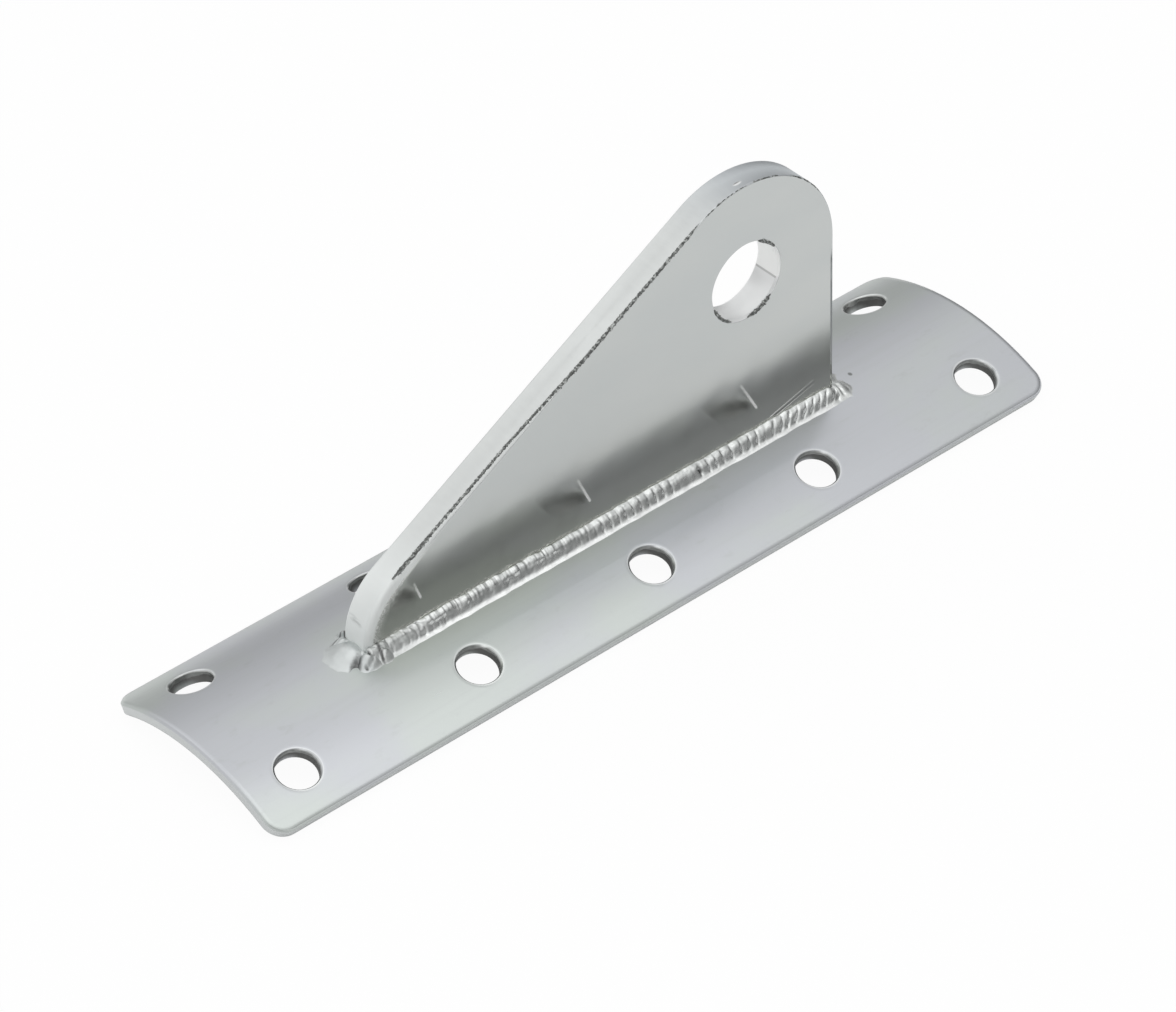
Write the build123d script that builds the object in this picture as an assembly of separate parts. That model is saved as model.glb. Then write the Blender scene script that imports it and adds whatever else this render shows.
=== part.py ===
from build123d import *

import os
from math import asin, cos, degrees, radians, sin, sqrt

# Mast vang collar: a rolled plate for the mast wall, a tang for the vang pin, and the weld between them.
# It lies as it rests on a table, hollow side down, on the two long edges of its plate.
# +X runs along the mast towards the heel of the tang, +Z points away from the mast, and the origin
# is on the table under the middle of the plate. All sizes are in millimetres.

# Base plate: a strip of stainless steel, punched flat and then rolled to the curve of the mast
plate_length = 150.0
plate_width = 40.6              # width of the strip, measured round its outer face
plate_thickness = 2.0
plate_outer_radius = 40.8
plate_corner_radius = 3.3
plate_edge_bevel = 0.3

# Fastener holes: two straight rows, square to the rolled face
hole_columns = 5
hole_diameter = 6.6
hole_end_margin = 9.2           # from the end of the plate to the middle of the first hole
hole_side_margin = 7.6          # from the side of the plate, measured round its outer face
hole_rim_bevel = 0.3

# Tang: a plate cut to a teardrop and stood on edge along the crown of the base plate
tang_thickness = 5.0
tang_head_radius = 17.25
tang_slant_angle = 30.0
tang_nose_radius = 12.0
tang_nose_from_middle = 45.4
tang_edge_bevel = 0.25
pin_hole_diameter = 12.9
pin_hole_from_middle = 28.0
pin_hole_height = 30.0          # above the crown of the base plate
pin_hole_rim_bevel = 0.35

# Weld: one fillet bead along each side of the tang, closed by dabs round its nose and its heel
weld_leg = 2.1
weld_axis_inset = 1.0           # how far inside both plates the bead's own axis lies
bead_overrun = 0.5              # how far each bead runs past the ends of the tang, under the dabs
ripple_pitch = 1.5
ripple_depth = 0.2
ripple_rise_share = 0.25        # share of each ripple that climbs to its crest
nose_dab_radius = 2.5
nose_dab_reach = 1.7            # from the nose of the tang to the middle of the leading dab
heel_dab_radius = 2.3
heel_dab_reach = 0.8
dab_sink = 0.7                  # depth of a dab's centre below the plate's outer face
side_dab_gap = 0.5              # from the side of the tang to the middle of a side dab

plate_inner_radius = plate_outer_radius - plate_thickness
edge_angle = degrees(plate_width / 2 / plate_outer_radius)
row_angle = degrees((plate_width / 2 - hole_side_margin) / plate_outer_radius)
hole_spacing = (plate_length - 2 * hole_end_margin) / (hole_columns - 1)

# The plate rests on the bevels of its two lower edges, which sets the height of the axis it is rolled to
inner_arris_angle = radians(edge_angle) - asin(plate_edge_bevel / plate_inner_radius)
inner_arris_drop = plate_inner_radius * cos(inner_arris_angle)
side_arris_drop = (plate_inner_radius + plate_edge_bevel) * cos(radians(edge_angle))
roll_axis_height = -min(inner_arris_drop, side_arris_drop)
crown_height = roll_axis_height + plate_outer_radius

tang_nose = -tang_nose_from_middle
tang_heel = pin_hole_from_middle + tang_head_radius
pin_centre = Vector(pin_hole_from_middle, 0, crown_height + pin_hole_height)


def outer_face_height(y):
    """Height of the plate's outer face at a distance y from its middle line."""
    return roll_axis_height + sqrt(plate_outer_radius ** 2 - y ** 2)


def roll_cylinder(radius):
    """Solid cylinder as long as the plate, about the axis that the plate is rolled to."""
    return Location((0, 0, roll_axis_height), (0, 90, 0)) * Cylinder(radius, plate_length)


def square_to_face(x, angle):
    """A place on the outer face, turned so that its Z points straight out of the plate."""
    return Location((x, 0, roll_axis_height), (-angle, 0, 0)) * Location((0, 0, plate_outer_radius))


def rim_cutter(hole_radius, bevel):
    """Cone centred on the face that a hole opens in, which bevels the rim there."""
    return Cone(hole_radius, hole_radius + 2 * bevel, 2 * bevel)


def make_base_plate():
    """Rolled strip with rounded corners, bevelled edges and two rows of fastener holes."""
    tube = roll_cylinder(plate_outer_radius) - roll_cylinder(plate_inner_radius)
    span = 4 * plate_outer_radius
    strip = tube - Location((0, 0, roll_axis_height - span / 2)) * Box(span, span, span)
    for side in (-1, 1):
        edge_plane = Location((0, 0, roll_axis_height), (-side * edge_angle, 0, 0))
        strip -= edge_plane * Location((0, side * span / 2, 0)) * Box(span, span, span)
    corners = strip.edges().filter_by(lambda edge: abs(edge.length - plate_thickness) < 0.01 * plate_thickness)
    strip = fillet(corners, plate_corner_radius)
    outline = strip.edges().filter_by(lambda edge: edge.length > 1.1 * plate_thickness)
    strip = chamfer(outline, plate_edge_bevel)
    for column in range(hole_columns):
        x = (column - (hole_columns - 1) / 2) * hole_spacing
        for angle in (-row_angle, row_angle):
            hole = square_to_face(x, angle)
            strip -= hole * Cylinder(hole_diameter / 2, 4 * plate_thickness)
            strip -= hole * rim_cutter(hole_diameter / 2, hole_rim_bevel)
    return strip


def tang_outline():
    """Side view of the tang: round head about the pin hole, straight slant, round nose, open foot."""
    slant = radians(tang_slant_angle)
    slant_out = Vector(-sin(slant), 0, cos(slant))
    head_top = pin_centre + slant_out * tang_head_radius
    head_heel = pin_centre + Vector(tang_head_radius, 0, 0)
    # The nose touches the slant, so its centre lies one nose radius inside the slanted line
    nose_centre_x = tang_nose + tang_nose_radius
    inside = (slant_out.X * (head_top.X - nose_centre_x) - tang_nose_radius) / slant_out.Z
    nose_centre = Vector(nose_centre_x, 0, head_top.Z + inside)
    nose_top = nose_centre + slant_out * tang_nose_radius
    nose_front = nose_centre - Vector(tang_nose_radius, 0, 0)
    foot_height = crown_height - plate_thickness
    foot_nose = Vector(tang_nose, 0, foot_height)
    foot_heel = Vector(tang_heel, 0, foot_height)
    return [
        Line(foot_nose, nose_front),
        TangentArc(nose_front, nose_top, tangent=(0, 0, 1)),
        Line(nose_top, head_top),
        TangentArc(head_top, head_heel, tangent=(cos(slant), 0, sin(slant))),
        Line(head_heel, foot_heel),
        Line(foot_heel, foot_nose),
    ]


def make_tang():
    """Teardrop plate with its pin hole, its foot cut to the curve of the base plate."""
    blank = extrude(make_face(tang_outline()), amount=tang_thickness / 2, both=True)
    sides = blank.faces().filter_by(Axis.Y)
    blank = chamfer(sides.edges(), tang_edge_bevel)
    blank -= roll_cylinder(plate_outer_radius)
    blank -= Location(pin_centre, (90, 0, 0)) * Cylinder(pin_hole_diameter / 2, 2 * tang_thickness)
    for side in (-1, 1):
        face_centre = pin_centre + Vector(0, side * tang_thickness / 2, 0)
        blank -= Location(face_centre, (-side * 90, 0, 0)) * rim_cutter(pin_hole_diameter / 2, pin_hole_rim_bevel)
    return blank


def make_side_bead():
    """Bead on the +Y side: a row of ripples turned a quarter round the bead's own axis."""
    axis_y = tang_thickness / 2 - weld_axis_inset
    axis_z = outer_face_height(tang_thickness / 2) - weld_axis_inset
    crest = sqrt((weld_leg + weld_axis_inset) ** 2 + weld_axis_inset ** 2)
    valley = crest - ripple_depth
    bead_start = tang_nose - bead_overrun
    bead_end = tang_heel + bead_overrun
    ripples = round((bead_end - bead_start) / ripple_pitch)
    step = (bead_end - bead_start) / ripples
    profile = [(bead_start, 0), (bead_start, valley)]
    for ripple in range(ripples):
        start = bead_start + ripple * step
        profile.append((start + ripple_rise_share * step, crest))
        profile.append((start + step, valley))
    profile.append((bead_end, 0))
    bead = revolve(make_face(Polyline(*profile, close=True)), Axis.X, 90)
    return Location((0, axis_y, axis_z)) * bead


def end_dabs(end_x, outward, radius, reach):
    """Three round dabs of weld metal that carry the bead round one end of the tang."""
    places = [(end_x + outward * reach, 0)]
    for side in (-1, 1):
        places.append((end_x, side * (tang_thickness / 2 + side_dab_gap)))
    return [Location((x, y, outer_face_height(y) - dab_sink)) * Sphere(radius) for x, y in places]


def make_weld(tang):
    """All-round fillet weld, cut off where it meets the base plate and the tang."""
    side_bead = make_side_bead()
    weld = side_bead + mirror(side_bead, Plane.XZ)
    for dab in end_dabs(tang_nose, -1, nose_dab_radius, nose_dab_reach):
        weld += dab
    for dab in end_dabs(tang_heel, 1, heel_dab_radius, heel_dab_reach):
        weld += dab
    return weld - roll_cylinder(plate_outer_radius) - tang


os.makedirs("parts", exist_ok=True)
tang = make_tang()
for name, solid in [("base_plate", make_base_plate()), ("tang", tang), ("fillet_weld", make_weld(tang))]:
    export_step(solid, f"parts/{name}.step")
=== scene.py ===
import math

import bmesh
import bpy
from mathutils import Euler, Matrix, Vector, noise


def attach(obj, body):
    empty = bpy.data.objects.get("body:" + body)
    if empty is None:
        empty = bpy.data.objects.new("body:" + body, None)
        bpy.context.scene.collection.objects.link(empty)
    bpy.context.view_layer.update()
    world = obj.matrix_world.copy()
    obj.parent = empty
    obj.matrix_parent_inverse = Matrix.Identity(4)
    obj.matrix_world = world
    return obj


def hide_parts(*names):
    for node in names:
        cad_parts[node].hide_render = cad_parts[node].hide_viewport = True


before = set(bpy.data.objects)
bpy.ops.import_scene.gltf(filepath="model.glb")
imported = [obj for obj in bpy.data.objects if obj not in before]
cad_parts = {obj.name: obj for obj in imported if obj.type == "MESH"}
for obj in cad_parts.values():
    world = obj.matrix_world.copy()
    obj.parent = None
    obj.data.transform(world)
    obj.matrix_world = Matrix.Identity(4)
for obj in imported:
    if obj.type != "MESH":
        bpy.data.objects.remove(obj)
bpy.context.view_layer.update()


# ---- Base plate ----
# A strip of stainless steel sheet, punched flat and then rolled to the curve of the mast. Its
# skin keeps a fine lengthwise grain from the mill and the faint clouding of sheet that has been
# pickled and handled.


class Finish:
    """A value or colour that changes over a piece: a socket whose arithmetic adds nodes."""

    def __init__(self, tree, socket):
        self.tree = tree
        self.socket = socket

    def node(self, kind, settings=None, inputs=None, output=0):
        """Any node of the same tree: its settings are set first, then its values or links."""
        made = self.tree.nodes.new(kind)
        for name, value in (settings or {}).items():
            setattr(made, name, value)
        for name, value in (inputs or {}).items():
            if isinstance(value, Finish):
                self.tree.links.new(value.socket, made.inputs[name])
            else:
                made.inputs[name].default_value = value
        return Finish(self.tree, made.outputs[output])

    def maths(self, operation, *values):
        """One step of arithmetic on the values given."""
        return self.node("ShaderNodeMath", {"operation": operation}, dict(enumerate(values)))

    def __add__(self, other):
        return self.maths("ADD", self, other)

    def __radd__(self, other):
        return self.maths("ADD", other, self)

    def __sub__(self, other):
        return self.maths("SUBTRACT", self, other)

    def __rsub__(self, other):
        return self.maths("SUBTRACT", other, self)

    def __mul__(self, other):
        return self.maths("MULTIPLY", self, other)

    def __rmul__(self, other):
        return self.maths("MULTIPLY", other, self)

    def __truediv__(self, other):
        return self.maths("DIVIDE", self, other)

    def __rtruediv__(self, other):
        return self.maths("DIVIDE", other, self)

    def __abs__(self):
        return self.maths("ABSOLUTE", self)

    def at_least(self, least):
        return self.maths("MAXIMUM", self, least)

    def at_most(self, most):
        return self.maths("MINIMUM", self, most)

    def reach(self, other):
        """Straight distance over this value one way and the other value square to it."""
        return self.maths("SQRT", self * self + other * other)

    def rise(self, low, high):
        """0 below low, 1 above high, and smooth between them."""
        steps = {"interpolation_type": "SMOOTHSTEP"}
        values = {"Value": self, "From Min": low, "From Max": high}
        return self.node("ShaderNodeMapRange", steps, values)

    def fall(self, low, high):
        """1 below low, 0 above high, and smooth between them."""
        return 1.0 - self.rise(low, high)

    def tint(self, first, second):
        """The first colour where this value is 0, the second where it is 1."""
        first, second = [c if isinstance(c, Finish) else (*c, 1.0) for c in (first, second)]
        return self.node("ShaderNodeMix", {"data_type": "RGBA"}, {0: self, 6: first, 7: second}, 2)

    def part(self, axis):
        """One coordinate of a place."""
        return self.node("ShaderNodeSeparateXYZ", None, {"Vector": self}, axis)

    def millimetres(self, axis):
        return self.part(axis) * 1000

    def feed(self, shader, name):
        """Let this finish drive one socket of a shader."""
        self.tree.links.new(self.socket, shader.inputs[name])


def start_steel(name, metal_roughness):
    """An empty steel material: its shader, and the place on the piece as a finish to build on."""
    steel = bpy.data.materials.new(name)
    steel.use_nodes = True
    shader = steel.node_tree.nodes["Principled BSDF"]
    shader.inputs["Metallic"].default_value = 1.0
    shader.inputs["Roughness"].default_value = metal_roughness
    place = steel.node_tree.nodes.new("ShaderNodeTexCoord")
    return steel, shader, Finish(steel.node_tree, place.outputs["Object"])


def grain(place, scale, stretch=(1.0, 1.0, 1.0), turn=(0, 0, 0), detail=2.0, roughness=0.5):
    """Noise drawn out along the way that rolling or belt polishing runs, at a scale per metre."""
    turns = {"Vector": place, "Rotation": turn, "Scale": stretch}
    turned = place.node("ShaderNodeMapping", None, turns)
    values = {"Vector": turned, "Scale": scale, "Detail": detail, "Roughness": roughness}
    return place.node("ShaderNodeTexNoise", None, values)


def relief(height, depth):
    """The facing of a surface that rises by depth, in metres, where the height is 1."""
    values = {"Strength": 1.0, "Distance": depth, "Height": height}
    return height.node("ShaderNodeBump", None, values)


MM = 0.001
PLATE_RADIUS = 40.8             # outer face, as rolled
PLATE_CROWN = 6.562             # height of the outer face along its middle line
ROLL_AXIS = PLATE_CROWN - PLATE_RADIUS
PLATE_LENGTH = 150.0
PLATE_HALF_GIRTH = 20.3         # from the middle line to the side, round the outer face
PLATE_CORNER = 3.3
HOLE_ROW = 12.7                 # from the middle line to a row of holes, round the outer face
HOLE_SPACING = 32.9
HOLE_RADIUS = 3.3
EDGE_ROUND, EDGE_ROUND_FALL = 0.95, 42.0    # rounding of the cut edge: its width and its fall
RIM_ROUND, RIM_ROUND_FALL = 0.8, 20.0       # the same at the rims of the holes
PLATE_RELIEF = 0.000007
PLATE_COLOURS = (0.572, 0.608, 0.590), (0.568, 0.584, 0.612)
STREAK_COLOUR = (0.52, 0.54, 0.54)
HANDLED_COLOUR = (0.50, 0.52, 0.52)
SPECK_COLOUR = (0.16, 0.17, 0.16)
SPECK_X, SPECK_Y, SPECK_STRETCH = 50.4, -0.8, 0.7746
CUT_EDGE_COLOUR, CUT_EDGE_PAINTED_SHADE_COLOUR = (0.64, 0.66, 0.66), (0.42, 0.43, 0.43)
HOLE_RIM_HIGHLIGHT_COLOUR = (0.78, 0.80, 0.79)
HOLE_WALL_COLOURS = (0.33, 0.34, 0.33), (0.46, 0.47, 0.46)
TORN_COLOUR = (0.22, 0.22, 0.215)

plate_steel, plate_shader, on_plate = start_steel("plate_steel", 0.3)
along, sideways = on_plate.millimetres("X"), on_plate.millimetres("Y")
above_axis = on_plate.millimetres("Z") - ROLL_AXIS
girth = PLATE_RADIUS * sideways.maths("ARCTAN2", sideways, above_axis)
depth = PLATE_RADIUS - sideways.reach(above_axis)

# Walls of the punched holes: burnished where the punch sheared them, torn and dark below
from_row = abs(girth) - HOLE_ROW
from_column = along.maths("PINGPONG", along + 3 * HOLE_SPACING, HOLE_SPACING / 2)
from_hole = from_row.reach(from_column)
in_hole = from_hole.fall(HOLE_RADIUS + 0.05, HOLE_RADIUS + 0.16)
tear_line = grain(on_plate, 700.0)
torn = in_hole * (depth + tear_line * 0.9).rise(1.15, 1.3)
# A pale ring just outside each hole: a painted highlight of the rounded rim
painted_rim_highlight = from_hole.rise(HOLE_RADIUS + 0.1, HOLE_RADIUS + 0.2)
painted_rim_highlight = painted_rim_highlight * from_hole.fall(HOLE_RADIUS + 0.3, HOLE_RADIUS + 0.5)

# Tumbling has rounded the arrises of the cut edges and, less, those of the holes
near_end = (abs(along) - (PLATE_LENGTH / 2 - PLATE_CORNER)).at_least(0.0)
near_side = (abs(girth) - (PLATE_HALF_GIRTH - PLATE_CORNER)).at_least(0.0)
inset = PLATE_CORNER - near_end.reach(near_side)
cut_edge = inset.fall(0.12, 0.28)
edge_round = (EDGE_ROUND - inset).at_least(0.0).at_most(0.65)
rim_round = (HOLE_RADIUS + RIM_ROUND - from_hole).at_least(0.0).at_most(0.5)

plate_grain = grain(on_plate, 9000.0, (0.02, 1.0, 1.0))
plate_streaks = grain(on_plate, 1300.0, (0.035, 1.0, 1.0), detail=3.0)
plate_clouds = grain(on_plate, 58.0, (0.6, 1.0, 1.0), detail=4.0)
plate_marks = grain(on_plate, 420.0, (0.5, 1.0, 1.0), detail=3.0, roughness=0.7)
plate_height = plate_grain * 0.5 + plate_streaks * 0.45 + tear_line * torn * 6.0
plate_height = plate_height - edge_round * edge_round * EDGE_ROUND_FALL
plate_height = plate_height - rim_round * rim_round * RIM_ROUND_FALL
relief(plate_height, PLATE_RELIEF).feed(plate_shader, "Normal")

plate_colour = plate_clouds.rise(0.38, 0.62).tint(*PLATE_COLOURS)
plate_colour = (0.2 * plate_streaks.rise(0.5, 0.75)).tint(plate_colour, STREAK_COLOUR)
plate_colour = (0.4 * plate_marks.rise(0.58, 0.74)).tint(plate_colour, HANDLED_COLOUR)
from_speck = (along - SPECK_X).reach((sideways - SPECK_Y) * SPECK_STRETCH)
plate_colour = (0.8 * from_speck.fall(0.2, 0.42)).tint(plate_colour, SPECK_COLOUR)
plate_colour = (cut_edge * depth.rise(0.2, 0.4)).tint(plate_colour, CUT_EDGE_COLOUR)
# The lowest part of the cut edge is darkened: painted shade where the edge meets the table
plate_colour = (cut_edge * depth.rise(1.5, 1.8)).tint(plate_colour, CUT_EDGE_PAINTED_SHADE_COLOUR)
plate_colour = (painted_rim_highlight * (0.25 + 0.6 * tear_line)).tint(plate_colour, HOLE_RIM_HIGHLIGHT_COLOUR)
plate_colour = in_hole.tint(plate_colour, tear_line.rise(0.42, 0.6).tint(*HOLE_WALL_COLOURS))
plate_colour = torn.tint(plate_colour, TORN_COLOUR)
plate_colour.feed(plate_shader, "Base Color")
plate_roughness = 0.235 + 0.08 * plate_clouds + 0.04 * plate_streaks + 0.2 * torn + 0.15 * cut_edge
plate_roughness.feed(plate_shader, "Roughness")

base_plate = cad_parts["base_plate"]
base_plate.data.materials[0] = plate_steel


# ---- Tang ----
# A 5 mm plate cut to a teardrop. Its faces are belt polished along the slant, which draws
# reflections out across that grain. Its cut edge is ground paler, and the near arris is ground
# soft round the nose.

TANG_HALF = 2.5
HEAD_RADIUS, NOSE_RADIUS = 17.247, 12.0
NOSE_X, HEEL_X = -45.4, 45.247
PIN_RADIUS, PIN_RIM = 6.45, 0.35
SLANT = math.radians(30.0)
HEAD_CENTRE = Vector((28.0, 0.0, PLATE_CROWN + 30.0))
NOSE_CENTRE = Vector((NOSE_X + NOSE_RADIUS, 0.0, 7.174))
ALONG_SLANT = Vector((math.cos(SLANT), 0.0, math.sin(SLANT)))
OUT_OF_SLANT = Vector((-math.sin(SLANT), 0.0, math.cos(SLANT)))
TANG_FOOT = 6.35
ARRIS = 1.0                     # width that every arris is first bevelled to
FINE_ARRIS = 0.28
BORDER = 0.3                    # narrow faces inside the arris and round the rim of the pin hole
ROUND_STEPS, RIM_STEPS = 144, 96
FIRST_CUT, CUT_SPACING, CUTS = -45.0, 1.5, 60


def share_past(value, start, length):
    """0 before the start, rising evenly to 1 at a length beyond it."""
    return max(0.0, min(1.0, (value - start) / length))


def tang_outline(point):
    """How far inside the tang's outline a point lies, and the way out of the nearest edge."""
    flat = Vector((point.x, 0.0, point.z))
    from_nose, from_head = flat - NOSE_CENTRE, flat - HEAD_CENTRE
    if flat.x < NOSE_CENTRE.x and flat.z <= NOSE_CENTRE.z:
        return flat.x - NOSE_X, Vector((-1, 0, 0))
    if from_nose.dot(ALONG_SLANT) < 0 and flat.x < 0:
        return NOSE_RADIUS - from_nose.length, from_nose.normalized()
    if from_head.dot(ALONG_SLANT) < 0 and from_head.dot(OUT_OF_SLANT) > 0:
        return HEAD_RADIUS - from_head.dot(OUT_OF_SLANT), OUT_OF_SLANT
    if flat.z > HEAD_CENTRE.z:
        return HEAD_RADIUS - from_head.length, from_head.normalized()
    return HEEL_X - flat.x, Vector((1, 0, 0))


def arris_size(x, side):
    """Width of the arris on the face and on the edge: wide round the near nose, else fine."""
    if side > 0:
        return FINE_ARRIS, FINE_ARRIS
    nose = share_past(-x, 30.0, 10.0)
    lower = share_past(-x, 4.0, 14.0)
    return 0.26 + 0.12 * lower + 1.2 * nose, 0.26 + 0.64 * lower


def only(kind, parts):
    """The vertices, or the edges, among what an operator gives back."""
    return [part for part in parts if isinstance(part, kind)]


def everything(shape):
    """All that a cut has to look through."""
    return shape.verts[:] + shape.edges[:] + shape.faces[:]


def finished_piece(name, shape):
    """The object of a finished bmesh, with the shape's place in its mesh."""
    mesh = bpy.data.meshes.new(name)
    shape.to_mesh(mesh)
    shape.free()
    piece = bpy.data.objects.new(name, mesh)
    bpy.context.scene.collection.objects.link(piece)
    return piece


# The solid teardrop, cut into short lengths and trimmed at its foot
tang_bm = bmesh.new()
upright = Matrix.Rotation(math.radians(90.0), 4, "X")
for side in (-1, 1):
    for centre, radius in ((HEAD_CENTRE, HEAD_RADIUS), (NOSE_CENTRE, NOSE_RADIUS)):
        at = Matrix.Translation(centre + Vector((0, side * TANG_HALF, 0))) @ upright
        bmesh.ops.create_circle(tang_bm, segments=ROUND_STEPS, radius=radius, matrix=at)
    tang_bm.verts.new((HEEL_X, side * TANG_HALF, NOSE_CENTRE.z - NOSE_RADIUS))
hull = bmesh.ops.convex_hull(tang_bm, input=tang_bm.verts)
spare = set(only(bmesh.types.BMVert, hull["geom_interior"] + hull["geom_unused"]))
bmesh.ops.delete(tang_bm, geom=list(spare), context="VERTS")
loose = [vertex for vertex in tang_bm.verts if not vertex.link_faces]
bmesh.ops.delete(tang_bm, geom=loose, context="VERTS")
bmesh.ops.dissolve_limit(
    tang_bm, angle_limit=math.radians(0.4), verts=tang_bm.verts, edges=tang_bm.edges
)
for cut in range(CUTS):
    at = (FIRST_CUT + cut * CUT_SPACING, 0, 0)
    bmesh.ops.bisect_plane(
        tang_bm, geom=everything(tang_bm), dist=0.001, plane_co=at, plane_no=(1, 0, 0)
    )
bmesh.ops.bisect_plane(
    tang_bm, geom=everything(tang_bm), dist=0.001,
    plane_co=(0, 0, TANG_FOOT), plane_no=(0, 0, 1), clear_inner=True,
)
bmesh.ops.holes_fill(tang_bm, edges=[edge for edge in tang_bm.edges if edge.is_boundary])

# Its arrises, bevelled alike and then each drawn to its own size
arrises = []
for edge in tang_bm.edges:
    facing = [abs(face.normal.y) for face in edge.link_faces]
    on_foot = any(face.normal.z < -0.9 for face in edge.link_faces)
    if len(facing) == 2 and min(facing) < 0.1 and max(facing) > 0.9 and not on_foot:
        arrises.append(edge)
bmesh.ops.bevel(
    tang_bm, geom=arrises, offset=ARRIS, offset_type="OFFSET", segments=5, profile=0.5,
    affect="EDGES", clamp_overlap=False, material=-1,
)
for vertex in tang_bm.verts:
    inset, outward = tang_outline(vertex.co)
    side = 1 if vertex.co.y > 0 else -1
    sunk = TANG_HALF - abs(vertex.co.y)
    if inset < ARRIS + 0.02 and sunk < ARRIS + 0.02:
        on_face, on_edge = arris_size(vertex.co.x, side)
        vertex.co += outward * inset * (1 - on_face / ARRIS)
        vertex.co.y = side * (TANG_HALF - sunk * on_edge / ARRIS)

# The pin hole is drilled through, with a small chamfer at each rim. Narrow borders inside the
# arris and round the rim keep the wide faces flat in the light.
tang_bm.normal_update()
faces = [face for face in tang_bm.faces if abs(face.normal.y) > 0.9999 and face.calc_area() > 0.5]
bmesh.ops.delete(tang_bm, geom=faces, context="FACES")
spare = [edge for edge in tang_bm.edges if not edge.link_faces]
bmesh.ops.delete(tang_bm, geom=spare, context="EDGES")
wall = []
for side in (-1, 1):
    border = [
        edge for edge in tang_bm.edges
        if edge.is_boundary and all(vertex.co.y * side > TANG_HALF - 0.01 for vertex in edge.verts)
    ]
    grown = bmesh.ops.extrude_edge_only(tang_bm, edges=border)["geom"]
    for vertex in only(bmesh.types.BMVert, grown):
        inset, outward = tang_outline(vertex.co)
        on_foot = vertex.co.z < TANG_FOOT + 0.001
        if inset < 2 * ARRIS:
            vertex.co -= outward * BORDER
        if on_foot:
            vertex.co.z += BORDER
    border = only(bmesh.types.BMEdge, grown)
    at = Matrix.Translation(HEAD_CENTRE + Vector((0, side * TANG_HALF, 0))) @ upright
    rim_radius = PIN_RADIUS + PIN_RIM + BORDER
    ring = bmesh.ops.create_circle(tang_bm, segments=RIM_STEPS, radius=rim_radius, matrix=at)
    rim = list({edge for vertex in ring["verts"] for edge in vertex.link_edges})
    bmesh.ops.triangle_fill(tang_bm, use_beauty=True, use_dissolve=False, edges=border + rim)
    for inward, sunk in ((BORDER, 0.0), (PIN_RIM, PIN_RIM)):
        grown = bmesh.ops.extrude_edge_only(tang_bm, edges=rim)["geom"]
        rim = only(bmesh.types.BMEdge, grown)
        for vertex in only(bmesh.types.BMVert, grown):
            from_pin = Vector((vertex.co.x - HEAD_CENTRE.x, 0, vertex.co.z - HEAD_CENTRE.z))
            vertex.co -= from_pin.normalized() * inward
            vertex.co.y -= side * sunk
        for edge in rim:
            edge.smooth = False
    wall += rim
bmesh.ops.bridge_loops(tang_bm, edges=wall)
bmesh.ops.remove_doubles(tang_bm, verts=tang_bm.verts, dist=0.002)
bmesh.ops.recalc_face_normals(tang_bm, faces=tang_bm.faces)
bmesh.ops.scale(tang_bm, vec=(MM, MM, MM), verts=tang_bm.verts)
for face in tang_bm.faces:
    face.smooth = True
tang = finished_piece("tang_plate", tang_bm)
evened = tang.modifiers.new("even_shading", "WEIGHTED_NORMAL")
evened.keep_sharp = True
evened.weight = 80


def stroke(start, end, width):
    """1 along a short straight mark on the side of the tang, 0 away from it."""
    length = math.hypot(end[0] - start[0], end[1] - start[1])
    over, up = (end[0] - start[0]) / length, (end[1] - start[1]) / length
    x, z = tang_x - start[0], tang_z - start[1]
    run = x * over + z * up
    past = run - run.at_least(0.0).at_most(length)
    across = x * up - z * over
    shape = run.maths("SQRT", across * across + past * past * 0.2).fall(width * 0.1, width)
    return shape * (0.35 + 0.65 * run.rise(0.0, length))


# Three painted glints, where the face mirrors the rims of the near row of holes in the plate, and
# scrapes just above the bead at the heel, where the work was handled after polishing. Each has its
# two ends, as x and z, and its width.
GLINTS_AND_SCRAPES = (
    ((-36.0, 15.0), (-35.1, 12.3), 0.30),
    ((-5.1, 17.0), (-3.2, 12.5), 0.34),
    ((26.8, 17.6), (29.6, 12.3), 0.34),
    ((41.0, 11.2), (32.6, 8.9), 0.20),
    ((41.2, 10.4), (33.9, 8.55), 0.16),
)
DARK_SCRAPE = (41.3, 10.8), (33.2, 8.65), 0.20
NICK_X, NICK_Y = 27.5, -1.2     # a nick on the top of the head
NOSE_MARK_Y, NOSE_MARK_Z = 0.6, 11.3    # a darker mark across the front of the nose
SEAM_TURN = -0.4                # where the turning tool left a line in the pin hole, in radians
TANG_RELIEF = 0.000009
TANG_COLOURS = (0.592, 0.612, 0.603), (0.568, 0.592, 0.588)
WARM_LIGHTENED_BAND_COLOUR, SMUDGE_COLOUR = (0.630, 0.638, 0.588), (0.36, 0.36, 0.33)
GROUND_COLOURS = (0.740, 0.760, 0.752), (0.58, 0.61, 0.63)
GROUND_NOSE_COLOUR = (0.86, 0.89, 0.88)
BORE_SHADE_AND_HIGHLIGHT_COLOURS = (0.86, 0.87, 0.87), (0.96, 0.97, 0.96)
SCRAPE_COLOUR = (0.30, 0.30, 0.29)
NICK_HIGHLIGHT_AND_SHADE_COLOURS = (0.95, 0.96, 0.96), (0.22, 0.22, 0.22)
NOSE_MARK_COLOUR, HAZE_COLOUR = (0.48, 0.50, 0.49), (0.66, 0.68, 0.67)
SOFT_ARRIS_SHADE_COLOUR = (0.60, 0.62, 0.61)
GLINT_AND_SCRAPE_COLOUR = (0.92, 0.93, 0.92)

tang_steel, tang_shader, on_tang = start_steel("tang_steel", 0.2)
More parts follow.
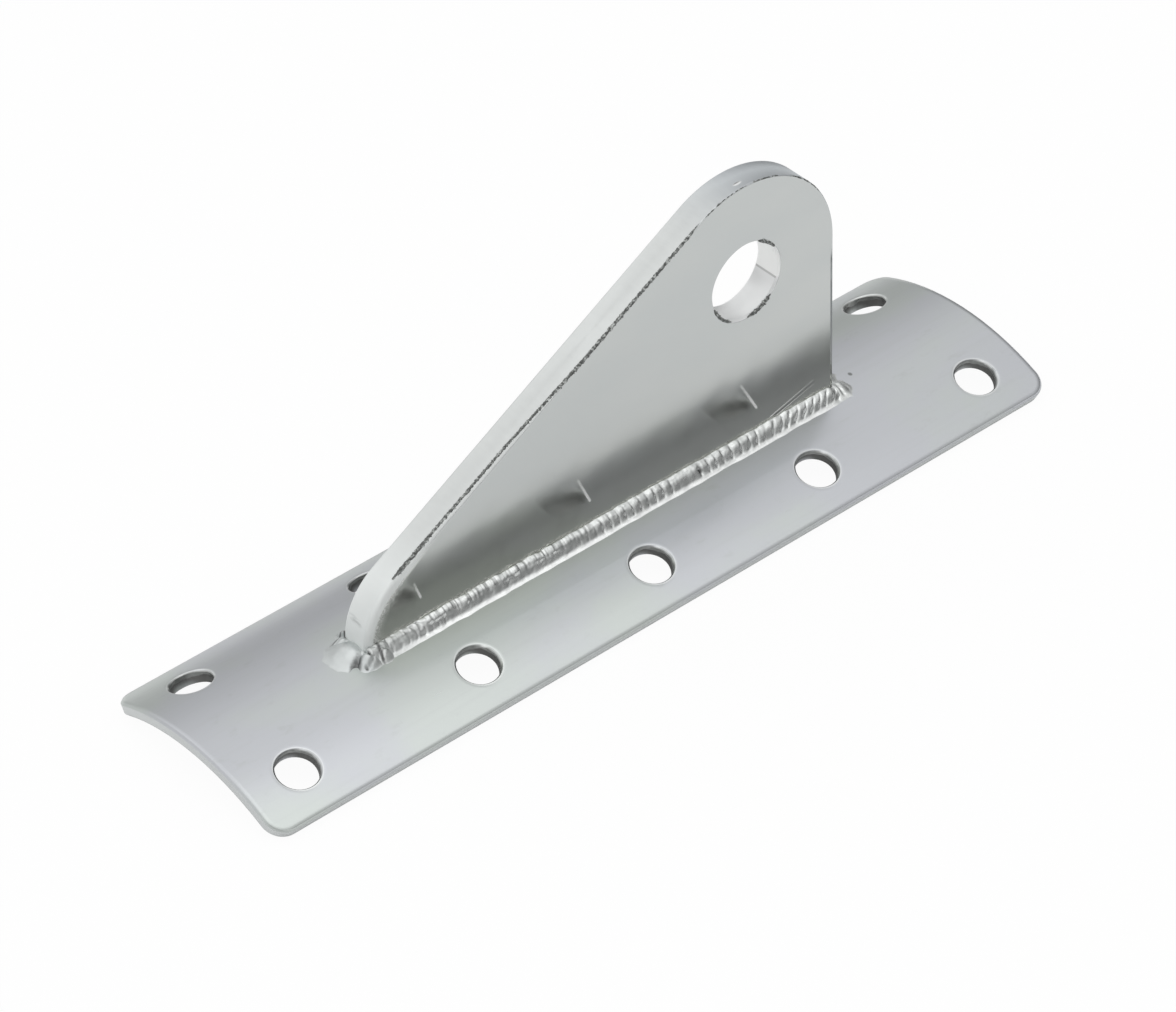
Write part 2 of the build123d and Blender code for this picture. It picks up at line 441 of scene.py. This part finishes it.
# The belt's grain draws reflections out across itself, a third of a turn from the shader's own way
tang_shader.inputs["Anisotropic"].default_value = 0.85
tang_shader.inputs["Anisotropic Rotation"].default_value = 1 / 3
tang_x, tang_y, tang_z = (on_tang.millimetres(axis) for axis in "XYZ")
ground = abs(tang_y).fall(TANG_HALF - 0.06, TANG_HALF - 0.004)
tang_grain = grain(on_tang, 9000.0, (0.02, 1.0, 1.0), (0, SLANT, 0))
tang_belt = grain(on_tang, 1500.0, (0.03, 1.0, 1.0), (0, SLANT, 0))
tang_clouds = grain(on_tang, 90.0, (0.4, 1.0, 1.0), (0, SLANT, 0), detail=4.0)
tang_smudge = grain(on_tang, 240.0, detail=4.0, roughness=0.6)
tang_waves = grain(on_tang, 130.0, detail=1.0)
ground_marks = grain(on_tang, 1400.0, (1.0, 0.25, 1.0), detail=3.0, roughness=0.6)
polished_height = tang_grain * 0.12 + tang_belt * 0.1 + tang_waves * 7.0
tang_height = (1.0 - ground) * polished_height + ground * ground_marks * 0.9
relief(tang_height, TANG_RELIEF).feed(tang_shader, "Normal")

# The polished faces, warmer and faintly smudged above the bead, where the band that mirrors the
# plate is also painted lighter as a painted reflection, and the ground edge, palest round the nose
above_bead = tang_z.fall(10.0, 24.0)
tang_colour = tang_clouds.rise(0.3, 0.7).tint(*TANG_COLOURS)
# Warmer tone above the bead, also painted lighter: a painted reflection of the plate
tang_colour = (0.8 * above_bead).tint(tang_colour, WARM_LIGHTENED_BAND_COLOUR)
tang_colour = (0.2 * above_bead * tang_smudge.rise(0.45, 0.8)).tint(tang_colour, SMUDGE_COLOUR)
tang_colour = ground.tint(tang_colour, tang_x.rise(14.0, 30.0).tint(*GROUND_COLOURS))
tang_colour = (ground * tang_x.fall(-44.0, -30.0)).tint(tang_colour, GROUND_NOSE_COLOUR)

# The bore of the pin hole, pale, with a painted highlight past the seam and painted shade before
# it
pin_x, pin_z = tang_x - HEAD_CENTRE.x, tang_z - HEAD_CENTRE.z
from_pin, round_pin = pin_x.reach(pin_z), pin_z.maths("ARCTAN2", pin_z, pin_x)
in_bore = from_pin.fall(PIN_RADIUS + PIN_RIM, PIN_RADIUS + PIN_RIM + 0.1)
pin_rim = in_bore * from_pin.rise(PIN_RADIUS + 0.02, PIN_RADIUS + 0.06)
highlight_past_seam = round_pin.rise(SEAM_TURN + 0.02, SEAM_TURN + 0.07)
seam = in_bore * round_pin.rise(SEAM_TURN - 0.02, SEAM_TURN)
seam = seam * round_pin.fall(SEAM_TURN + 0.03, SEAM_TURN + 0.05)
tang_colour = (ground * in_bore).tint(tang_colour, highlight_past_seam.tint(*BORE_SHADE_AND_HIGHLIGHT_COLOURS))
tang_colour = (0.5 * seam * (1.0 - pin_rim)).tint(tang_colour, SCRAPE_COLOUR)

# The nick on the head, painted with a highlight on one side and shade on the other, and a darker
# mark on the nose
nick = ((tang_x - NICK_X) / 0.9).reach((tang_y - NICK_Y) / 0.4).fall(0.5, 1.1)
nick = ground * (1.0 - in_bore) * nick
nick_shaded_side = nick * tang_y.rise(NICK_Y - 0.05, NICK_Y + 0.25)
tang_colour = nick.tint(tang_colour, nick_shaded_side.tint(*NICK_HIGHLIGHT_AND_SHADE_COLOURS))
nose_mark = ((tang_y - NOSE_MARK_Y) / 1.7).reach((tang_z - NOSE_MARK_Z - 0.14 * tang_y) / 0.55).fall(0.4, 1.2)
nose_mark = ground * nose_mark * tang_x.fall(-44.2, -43.6) * ground_marks.rise(0.35, 0.6)
tang_colour = (0.7 * nose_mark).tint(tang_colour, NOSE_MARK_COLOUR)

# The near face fades into the ground arris of the nose, where the belt has clouded the polish
near_face = tang_y.fall(-TANG_HALF + 0.1, -TANG_HALF + 0.2)
from_nose = (tang_x - NOSE_CENTRE.x).reach(tang_z - NOSE_CENTRE.z)
at_nose_end = tang_x.fall(-40.0, -36.0)
haze = (1.0 - ground) * near_face * at_nose_end
haze = haze * from_nose.rise(NOSE_RADIUS - 3.3, NOSE_RADIUS - 1.1)
haze = haze * (0.3 + 0.5 * ground_marks.rise(0.3, 0.7))
tang_colour = haze.tint(tang_colour, HAZE_COLOUR)
# Painted shade on the inner half of the soft near arris at the nose, where it turns from the light
soft_arris_shade = ground * at_nose_end * (1.0 - in_bore) * tang_y.fall(-2.35, -1.9)
tang_colour = (0.35 * soft_arris_shade).tint(tang_colour, SOFT_ARRIS_SHADE_COLOUR)

# The first three marks are painted glints, a painted reflection; the rest are pale scrapes
glints_and_scrapes = 0.0
for start, end, width in GLINTS_AND_SCRAPES:
    glints_and_scrapes = glints_and_scrapes + stroke(start, end, width)
glints_and_scrapes, dark_scrape = near_face * glints_and_scrapes, near_face * stroke(*DARK_SCRAPE)
tang_colour = glints_and_scrapes.tint(tang_colour, GLINT_AND_SCRAPE_COLOUR)
tang_colour = dark_scrape.tint(tang_colour, SCRAPE_COLOUR)
tang_colour.feed(tang_shader, "Base Color")
tang_roughness = 0.095 + 0.03 * tang_clouds + ground * (0.28 + 0.12 * ground_marks)
(tang_roughness + 0.4 * glints_and_scrapes + 0.3 * haze).feed(tang_shader, "Roughness")
# Ground steel scatters light, so it is less of a mirror than the polished faces
matt = 0.6 * tang_x.fall(-44.0, -26.0) + in_bore * (0.25 + highlight_past_seam * 0.25) + 0.3 * pin_rim
(1.0 - (ground * matt + 0.8 * haze)).feed(tang_shader, "Metallic")
tang.data.materials.append(tang_steel)
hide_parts("tang")
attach(tang, "root")


# ---- Cutting burr ----
# The near arris of the slant keeps the rough, dark burr of the cut: a broken line of torn metal
# with a few more bits round the head and on the rim of the pin hole. It is part of the tang's
# own steel.

BURR_ROUND = 10
BURR_COLOURS = (0.15, 0.155, 0.15), (0.58, 0.60, 0.585)
PIN_RIM_MIDDLE = PIN_RADIUS + PIN_RIM / 2


def slant_burr(share):
    """Middle of the burr along the straight slant, the way out there, and how thick it is."""
    length = (HEAD_CENTRE - NOSE_CENTRE).dot(ALONG_SLANT)
    at = NOSE_CENTRE + OUT_OF_SLANT * NOSE_RADIUS + ALONG_SLANT * share * length
    on_edge = arris_size(at.x, -1)[1]
    ends = min(1.0, 0.4 + share / 0.04, (1 - share) / 0.03)
    ragged = 0.36 - 0.13 * share + 0.07 * noise.noise(Vector((share * 120, 0, 0)))
    ragged = (ragged + 0.05 * noise.noise(Vector((share * 420, 3, 0)))) * ends
    middle = at + Vector((0, -TANG_HALF + 0.8 * on_edge, 0)) - OUT_OF_SLANT * 0.65 * ragged
    return middle, OUT_OF_SLANT, ragged


def arc_burr(centre, radius, start, end, sink, thick, seed):
    """A burr on part of a round rim on the near side of the tang, between two turns in degrees."""
    def place(share):
        turn = math.radians(start + (end - start) * share)
        outward = Vector((math.cos(turn), 0, math.sin(turn)))
        at = centre + outward * (radius - sink) + Vector((0, -TANG_HALF + sink, 0))
        ends = min(1.0, share / 0.15, (1 - share) / 0.15)
        return at, outward, thick * ends * (1 + 0.6 * noise.noise(Vector((share * 14, seed, 0))))
    return place


BURRS = (
    (slant_burr, 1200),
    (arc_burr(NOSE_CENTRE, NOSE_RADIUS, 131, 119, 0.62, 0.20, 7), 90),
    (arc_burr(HEAD_CENTRE, HEAD_RADIUS, 121, 86, 0.13, 0.10, 6), 120),
    (arc_burr(HEAD_CENTRE, HEAD_RADIUS, 88, 66, 0.14, 0.12, 1), 90),
    (arc_burr(HEAD_CENTRE, HEAD_RADIUS, 62, 30, 0.15, 0.14, 2), 90),
    (arc_burr(HEAD_CENTRE, PIN_RIM_MIDDLE, 70, 32, 0.02, 0.25, 3), 90),
    (arc_burr(HEAD_CENTRE, PIN_RIM_MIDDLE, 196, 244, 0.02, 0.24, 4), 90),
    (arc_burr(HEAD_CENTRE, PIN_RIM_MIDDLE, 270, 316, 0.02, 0.28, 5), 90),
)
burr_bm = bmesh.new()
for place, steps in BURRS:
    grid = bmesh.ops.create_grid(burr_bm, x_segments=steps, y_segments=BURR_ROUND, size=0.5)
    strip = grid["verts"]
    for vertex in strip:
        share, turn = vertex.co.x + 0.5, 2 * math.pi * (vertex.co.y + 0.5)
        at, outward, thick = place(share)
        across = outward * math.cos(turn) + Vector((0, -math.sin(turn), 0))
        spot = at + across * thick
        rough = 0.6 * noise.noise(spot * 3.1) + 0.7 * noise.noise(spot * 8.3)
        vertex.co = at + across * max(0.002, thick * (1 + 0.5 * rough))
    bmesh.ops.remove_doubles(burr_bm, verts=strip, dist=0.0005)
bmesh.ops.holes_fill(burr_bm, edges=[edge for edge in burr_bm.edges if edge.is_boundary])
bmesh.ops.recalc_face_normals(burr_bm, faces=burr_bm.faces)
bmesh.ops.scale(burr_bm, vec=(MM, MM, MM), verts=burr_bm.verts)
burr = finished_piece("cutting_burr", burr_bm)

burr_steel, burr_shader, on_burr = start_steel("burr_steel", 0.5)
burr_spots = grain(on_burr, 2600.0, detail=3.0, roughness=0.6)
burr_spots.rise(0.46, 0.66).tint(*BURR_COLOURS).feed(burr_shader, "Base Color")
burr.data.materials.append(burr_steel)
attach(burr, "root")


# ---- Weld ----
# One fillet bead of stainless filler run along each side of the tang and carried round its nose
# and heel. Each pulse of the torch left a crescent ripple, and the run starts and ends in smooth
# dabs at the nose.

BEAD_STATIONS = 1500
BEAD_ROUND = 34
BEAD_FACE_SHARE = 0.88          # share of the points round the bead that lie on its open face
CORNER_TURN = 3.0               # length of run that one corner of the tang takes up
BEAD_SINK = 0.35                # how far the hidden back of the bead lies inside the two plates
RIPPLE_PITCH = 1.5
RIPPLE_WIDTH, ARC_WIDTH = 0.14, 0.16    # grooves between ripples, as a share of the pitch
RESTART_X, RESTART_REACH = 14.6, 1.9    # where the torch was started again over a smooth crater
WELD_RUN = 2 * (HEEL_X - NOSE_X) + 4 * TANG_HALF + 4 * CORNER_TURN
# Sections of the bead, out from the tang and up from the plate, from the toe to the top: steep
# below a rolled lip where the run was cooler, evenly rounded where it was hotter
COOL_SECTION = (
    (2.44, -0.12), (2.30, 0.0), (2.0, 0.12), (1.70, 0.32), (1.44, 0.68),
    (1.18, 1.08), (0.92, 1.46), (0.62, 1.70), (0.28, 1.84), (0.0, 1.92),
)
HOT_SECTION = (
    (2.44, -0.12), (2.30, 0.0), (2.02, 0.13), (1.72, 0.34), (1.43, 0.73),
    (1.17, 1.13), (0.88, 1.46), (0.55, 1.68), (0.2, 1.84), (0.0, 1.90),
)
# Dabs of weld metal at the nose and the heel: middle on the plate, half length and width, and
# height above the plate
DABS = (
    (-46.6, -0.2, 4.3, 4.2, 1.65), (-45.5, -3.2, 2.7, 2.1, 1.75), (-43.2, -3.6, 2.0, 1.7, 1.75),
    (-45.7, 2.4, 2.2, 1.7, 1.3), (-44.5, 3.4, 2.0, 1.4, 1.4),
    (45.8, -2.4, 3.4, 2.8, 1.2), (45.8, 1.0, 3.0, 3.4, 1.1),
)
FIRST_DAB = (-47.4, -0.8)       # middle of the arcs that the last pulses left on the dabs
# Pits and the crevice between two dabs: middle on the plate, radius, depth
PITS = (
    (-48.0, -3.2, 0.75, 0.55), (-47.0, -2.6, 0.5, 0.45), (-45.3, -3.2, 0.35, 0.35),
    (-46.7, -4.2, 0.3, 0.4), (17.3, -3.6, 0.4, 0.45),
)


def plate_top(y):
    """Height of the plate's outer face at a distance y from its middle line, in millimetres."""
    return ROLL_AXIS + math.sqrt(PLATE_RADIUS ** 2 - y ** 2)


def foot_of_tang(run):
    """Point of the tang's foot at a distance along the weld, and the way straight out of it."""
    side = HEEL_X - NOSE_X
    end = 2 * TANG_HALF
    for length, start, along, facing in (
        (side, (NOSE_X, -TANG_HALF), (1, 0), -90),
        (CORNER_TURN, (HEEL_X, -TANG_HALF), (0, 0), -90),
        (end, (HEEL_X, -TANG_HALF), (0, 1), 0),
        (CORNER_TURN, (HEEL_X, TANG_HALF), (0, 0), 0),
        (side, (HEEL_X, TANG_HALF), (-1, 0), 90),
        (CORNER_TURN, (NOSE_X, TANG_HALF), (0, 0), 90),
        (end, (NOSE_X, TANG_HALF), (0, -1), 180),
        (CORNER_TURN, (NOSE_X, -TANG_HALF), (0, 0), 180),
    ):
        if run <= length:
            break
        run -= length
    run = min(run, length)
    turn = 90 * run / CORNER_TURN if along == (0, 0) else 0
    out = math.radians(facing + turn)
    foot = Vector((start[0] + along[0] * run, start[1] + along[1] * run, 0))
    return foot, Vector((math.cos(out), math.sin(out), 0))


def wander(x, seed, scale):
    """Slow unevenness of hand welding, from -1 to 1."""
    return noise.noise(Vector((x * scale, seed * 7.3, 0.4)))


def section_point(across, section):
    """A point of the bead's section, from 0 at the toe to 1 at the top, on one smooth curve."""
    place = across * (len(section) - 1)
    first = min(int(place), len(section) - 2)
    t = place - first
    near = [section[max(0, min(len(section) - 1, first + k))] for k in (-1, 0, 1, 2)]
    return Vector([
        0.5 * (
            2 * b + (c - a) * t + (2 * a - 5 * b + 4 * c - d) * t * t
            + (3 * b - a - 3 * c + d) * t ** 3
        )
        for a, b, c, d in zip(*near)
    ])


def ripples(run, across, lean, bow):
    """Grooves between the torch's pulses, leaning and never even: 0 on a crest, -1 in one."""
    shift = lean * across + bow * (1 - (2 * across - 1) ** 2)
    shift = shift + 0.35 * wander(run, 3, 0.31) + 0.2 * wander(run, 4, 1.3)
    pulse = (run - shift) / RIPPLE_PITCH
    apart = (pulse % 1.0) - 0.5 + 0.06 * noise.noise(Vector((run * 2, across * 4, 2.0)))
    depth = 0.62 + 0.75 * noise.noise(Vector((math.floor(pulse) * 3.7, 1.1, 0)))
    return -max(0.0, depth) * math.exp(-((apart / RIPPLE_WIDTH) ** 2))


def fade(value, low, high):
    """0 below low, 1 above high, smooth between them."""
    share = share_past(value, low, high - low)
    return share * share * (3 - 2 * share)


def bead_point(run, round_share):
    """Point on the weld: along its run, and round its section from the plate to the tang."""
    foot, out = foot_of_tang(run)
    if round_share > BEAD_FACE_SHARE:
        # The hidden back runs inside the tang and the plate, so that the bead is one closed piece
        back = (round_share - BEAD_FACE_SHARE) / (1 - BEAD_FACE_SHARE)
        inside = foot - out * BEAD_SINK
        inside.z = plate_top(foot.y) - BEAD_SINK
        end = bead_point(run, BEAD_FACE_SHARE if back < 0.5 else 0.0)
        return end.lerp(inside, back * 2) if back < 0.5 else inside.lerp(end, back * 2 - 1)
    at_nose = fade(-foot.x, 30.0, 37.0)
    at_heel = fade(foot.x, 44.0, 45.2) * (1 if abs(out.x) > 0.2 else 0.35)
    nose_end = fade(-out.x, 0.0, 0.5)
    hot = fade(foot.x, -12.0, 2.0)
    restart = math.exp(-((foot.x - RESTART_X) / RESTART_REACH) ** 4)
    across = min(1.0, round_share / BEAD_FACE_SHARE)
    plate_leg = 1.0 + 0.06 * wander(run, 1, 0.5) - 0.4 * nose_end - 0.2 * at_heel
    tang_leg = 1.0 + 0.09 * wander(run, 2, 0.8) - 0.45 * nose_end - 0.55 * at_heel
    cool_point, hot_point = section_point(across, COOL_SECTION), section_point(across, HOT_SECTION)
    reach, height = cool_point.lerp(hot_point, hot)
    point = foot + out * reach * plate_leg

    # The grooves show in the middle of the open face: faint where the run was cooler, deeper
    # where it was hotter
    hot_middle = fade(across, 0.28, 0.42) * (1 - 0.8 * fade(across, 0.72, 0.9))
    cool_middle = 0.4 * fade(across, 0.35, 0.5) * (1 - fade(across, 0.6, 0.75)) * (1 - at_nose)
    cool_middle += at_nose * fade(across, 0.2, 0.4)
    middle = cool_middle + (hot_middle - cool_middle) * hot
    lean = 0.6 + 2.6 * fade(foot.x, 20.0, 40.0) - 0.4 * at_nose
    grooves = ripples(run, across, lean, 0.5 + 1.0 * at_nose)
    swell = (0.12 + 0.09 * hot) * grooves * middle * (1 - restart)
    swell *= (1 - 0.9 * at_heel) * (1 + 0.25 * at_nose)

    # The lip under the top wanders where the run was cooler, and the whole skin is a little lumpy
    lip = fade(across, 0.5, 0.65) * (1 - fade(across, 0.9, 1.0))
    waver = 0.16 * wander(run, 5, 0.7) + 0.14 * wander(run, 6, 1.9) + 0.08 * wander(run, 7, 4.3)
    swell += lip * (1 - hot) * waver
    fine = noise.noise(Vector((point.x * 2.6, point.y * 2.6 + across * 4, 9.0)))
    lumps = noise.noise(Vector((point.x * 0.9, point.y * 0.9 + across * 2, 5.0)))
    swell += (0.02 * fine + (0.05 + 0.05 * at_nose) * lumps) * fade(across, 0.12, 0.35)
    point += out * swell * 0.6
    point.z = plate_top(point.y) + height * tang_leg + swell * 0.75
    return point


def dab_skin(x, y, spread, height):
    """Height of a dab above the plate: uneven, and crossed by the arcs of the last pulses."""
    up = height * max(0.0, 1 - spread) ** 2.2 - 0.06
    up += 0.07 * noise.noise(Vector((x * 0.9, y * 0.9, 2.0)))
    up += 0.05 * noise.noise(Vector((x * 1.9, y * 1.9, 6.0)))
    pulse = math.hypot(x - FIRST_DAB[0], y - FIRST_DAB[1]) / RIPPLE_PITCH
    pulse += 0.25 * wander(x + y, 8, 0.8)
    beyond = fade(pulse, 1.7, 2.3) * fade(up, 0.1, 0.5)
    return up - 0.22 * beyond * math.exp(-(((pulse % 1.0) - 0.5) / ARC_WIDTH) ** 2)


# Each dab is a flattened ball with its lower half sunk in the plate
weld_bm = bmesh.new()
for middle_x, middle_y, half_x, half_y, height in DABS:
    ball = bmesh.ops.create_uvsphere(weld_bm, u_segments=56, v_segments=40, radius=1.0)["verts"]
    for vertex in ball:
        x, y = middle_x + vertex.co.x * half_x, middle_y + vertex.co.y * half_y
        if vertex.co.z > 0:
            up = dab_skin(x, y, vertex.co.x ** 2 + vertex.co.y ** 2, height)
        else:
            up = -0.1 + 0.4 * vertex.co.z
        vertex.co = Vector((x, y, plate_top(y) + up)) * MM
grid = bmesh.ops.create_grid(weld_bm, x_segments=BEAD_STATIONS, y_segments=BEAD_ROUND, size=0.5)
bead = grid["verts"]
for vertex in bead:
    run = (vertex.co.x + 0.5) * WELD_RUN
    vertex.co = bead_point(run, vertex.co.y + 0.5) * MM
bmesh.ops.remove_doubles(weld_bm, verts=bead, dist=0.000005)
for vertex in weld_bm.verts:
    for middle_x, middle_y, radius, sunk in PITS:
        apart = math.hypot(vertex.co.x / MM - middle_x, vertex.co.y / MM - middle_y) / radius
        if apart < 3 and vertex.co.z > (plate_top(middle_y) - 0.05) * MM:
            vertex.co.z -= sunk * MM * math.exp(-2 * apart * apart)
bmesh.ops.recalc_face_normals(weld_bm, faces=weld_bm.faces)
for face in weld_bm.faces:
    face.smooth = True
weld = finished_piece("weld_bead", weld_bm)

WELD_RELIEF = 0.000012
WELD_COLOURS = (0.75, 0.77, 0.76), (0.57, 0.59, 0.58)
TOE_HIGHLIGHT_COLOUR, NOSE_DAB_SHADE_COLOUR = (0.93, 0.94, 0.935), (0.58, 0.61, 0.61)
SLAG_AND_SHADE_COLOUR = (0.10, 0.10, 0.10)
# Dark pockets of slag and painted shade in the pits, the grooves and beside the dabs: middle, half
# length and width, and turn in degrees
SLAG_AND_SHADE_POCKETS = (
    (-47.8, -3.1, 1.95, 0.8, 30), (-43.7, -3.7, 1.8, 0.3, 78), (-45.3, -3.2, 0.3, 0.3, 0),
    (-46.7, -4.3, 0.3, 0.3, 0), (17.3, -3.6, 0.45, 0.3, 0), (-46.0, 3.25, 1.5, 0.24, 5),
    (-45.3, 2.5, 0.8, 0.2, 64),
)

weld_metal, weld_shader, on_weld = start_steel("weld_metal", 0.3)
weld_x, weld_y = on_weld.millimetres("X"), on_weld.millimetres("Y")
weld_skin = grain(on_weld, 1800.0, detail=3.0, roughness=0.6)
weld_stain = grain(on_weld, 500.0, detail=3.0, roughness=0.6)
relief(weld_skin, WELD_RELIEF).feed(weld_shader, "Normal")
weld_colour = weld_stain.rise(0.42, 0.72).tint(*WELD_COLOURS)
# Painted highlight along the toe of the bead, where its flat foot faces the light overhead
toe = abs(weld_y).rise(4.15, 4.4) * weld_x.rise(-43.0, -38.0) * weld_x.fall(43.0, 45.0)
weld_colour = (toe * (0.35 + 0.5 * weld_stain)).tint(weld_colour, TOE_HIGHLIGHT_COLOUR)
# The dabs at the nose are painted darker: painted shade that tones down their reflection of the
# light above
weld_colour = (0.75 * weld_x.fall(-46.5, -44.5)).tint(weld_colour, NOSE_DAB_SHADE_COLOUR)
# Each pocket darkens the weld: partly slag, partly painted shade
for middle_x, middle_y, half_length, half_width, turn in SLAG_AND_SHADE_POCKETS:
    over, aside = math.cos(math.radians(turn)), math.sin(math.radians(turn))
    x, y = weld_x - middle_x, weld_y - middle_y
    far = ((x * over + y * aside) / half_length).reach((y * over - x * aside) / half_width)
    slag_and_shade = (far + 0.8 * (weld_skin - 0.5)).fall(0.3, 1.3)
    weld_colour = (0.85 * slag_and_shade).tint(weld_colour, SLAG_AND_SHADE_COLOUR)
weld_colour.feed(weld_shader, "Base Color")
weld_roughness = 0.21 + 0.14 * weld_stain + 0.16 * weld_x.fall(-41.0, -33.0)
weld_roughness.feed(weld_shader, "Roughness")
weld.data.materials.append(weld_metal)
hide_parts("fillet_weld")
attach(weld, "root")


# ---- Studio ----
# A plain white table under soft light from above and behind, seen by a long lens from the nose
# end. The camera sees white beyond the object, and the metal mirrors a dimmer room.

# Where the table comes out from under the plate, in metres: there the metal mirrors more of its
# glow, and under the plate the dimmer glow is a painted shadow
UNSHADED_TABLE_X, UNSHADED_TABLE_Y = (0.070, 0.075), (0.0184, 0.0193)
# Softboxes, overhead and low beside the camera: place, aim, size, and how bright their faces are
SOFTBOXES = (
    ("overhead_softbox", (0.08, -0.12, 0.60), (0.0, -0.02, 0.0), (0.45, 0.50), 0.42),
    ("front_softbox", (-0.42, -0.42, 0.30), (0.0, 0.0, 0.01), (0.22, 0.22), 0.9),
)
CAMERA_PLACE = (-0.359099, -0.438965, 0.475448)
CAMERA_TURN = (50.4901, 1.6376, -40.5202)
CAMERA_LENS = 152.391

world = bpy.data.worlds.new("studio_light")
bpy.context.scene.world = world
world.use_nodes = True
sky = world.node_tree.nodes["Background"]
seen_from = world.node_tree.nodes.new("ShaderNodeLightPath")
direction = world.node_tree.nodes.new("ShaderNodeTexCoord")
towards = Finish(world.node_tree, direction.outputs["Generated"])
up, east, north = towards.part("Z"), towards.part("X"), towards.part("Y")
low = up.fall(0.25, 0.6)
low_north, low_south = north.rise(0.3, 0.9) * low, (0.0 - north).rise(0.5, 0.95) * low
glow = 0.35 + 0.62 * up.rise(0.15, 0.8) + 0.13 * north - 0.2 * east
glow = glow + 0.14 * low_north + 0.07 * low_south
camera_ray = Finish(world.node_tree, seen_from.outputs["Is Camera Ray"])
(glow * (1.0 - camera_ray) + camera_ray).feed(sky, "Strength")
sky.inputs["Color"].default_value = (1.0, 1.0, 1.0, 1.0)

floor_bm = bmesh.new()
bmesh.ops.create_grid(floor_bm, x_segments=2, y_segments=2, size=3.0)
floor = finished_piece("table", floor_bm)
white = bpy.data.materials.new("white_table")
white.use_nodes = True
white_tree = white.node_tree
white_shader = white_tree.nodes["Principled BSDF"]
white_shader.inputs["Base Color"].default_value = (0.95, 0.95, 0.95, 1.0)
white_shader.inputs["Roughness"].default_value = 0.9
white_shader.inputs["Specular IOR Level"].default_value = 0.0
rays = white_tree.nodes.new("ShaderNodeLightPath")
camera_sees = Finish(white_tree, rays.outputs["Is Camera Ray"])
mirrored = Finish(white_tree, rays.outputs["Is Glossy Ray"])
table_place = white_tree.nodes.new("ShaderNodeTexCoord")
on_table = Finish(white_tree, table_place.outputs["Object"])
beyond_end = abs(on_table.part("X")).rise(*UNSHADED_TABLE_X)
beyond_side = abs(on_table.part("Y")).rise(*UNSHADED_TABLE_Y)
# Painted shadow: the glow that reflections see is lower under the plate
outside_painted_shadow = beyond_end.at_least(beyond_side)
lit = white_tree.nodes.new("ShaderNodeEmission")
lit.inputs["Strength"].default_value = 1.0
lit_share = 0.95 * camera_sees + 0.3 * mirrored * (0.4 + 0.6 * outside_painted_shadow)
painted, glowing = Finish(white_tree, white_shader.outputs[0]), Finish(white_tree, lit.outputs[0])
blend = lit_share.node("ShaderNodeMixShader", None, {0: lit_share, 1: painted, 2: glowing})
blend.feed(white_tree.nodes["Material Output"], "Surface")
floor.data.materials.append(white)

for name, place, aim, size, radiance in SOFTBOXES:
    lamp = bpy.data.lights.new(name, "AREA")
    lamp.shape = "RECTANGLE"
    lamp.size, lamp.size_y = size
    lamp.energy = radiance * math.pi * size[0] * size[1]
    softbox = bpy.data.objects.new(name, lamp)
    softbox.location = place
    softbox.rotation_euler = (Vector(aim) - Vector(place)).to_track_quat("-Z", "Y").to_euler()
    softbox.visible_camera = False
    bpy.context.scene.collection.objects.link(softbox)

camera_data = bpy.data.cameras.new("camera")
camera_data.sensor_width = 36.0
camera_data.lens = CAMERA_LENS
camera = bpy.data.objects.new("camera", camera_data)
camera.location = CAMERA_PLACE
camera.rotation_euler = Euler([math.radians(turn) for turn in CAMERA_TURN], "XYZ")
bpy.context.scene.collection.objects.link(camera)
bpy.context.scene.camera = camera
bpy.context.scene.view_settings.view_transform = "Standard"
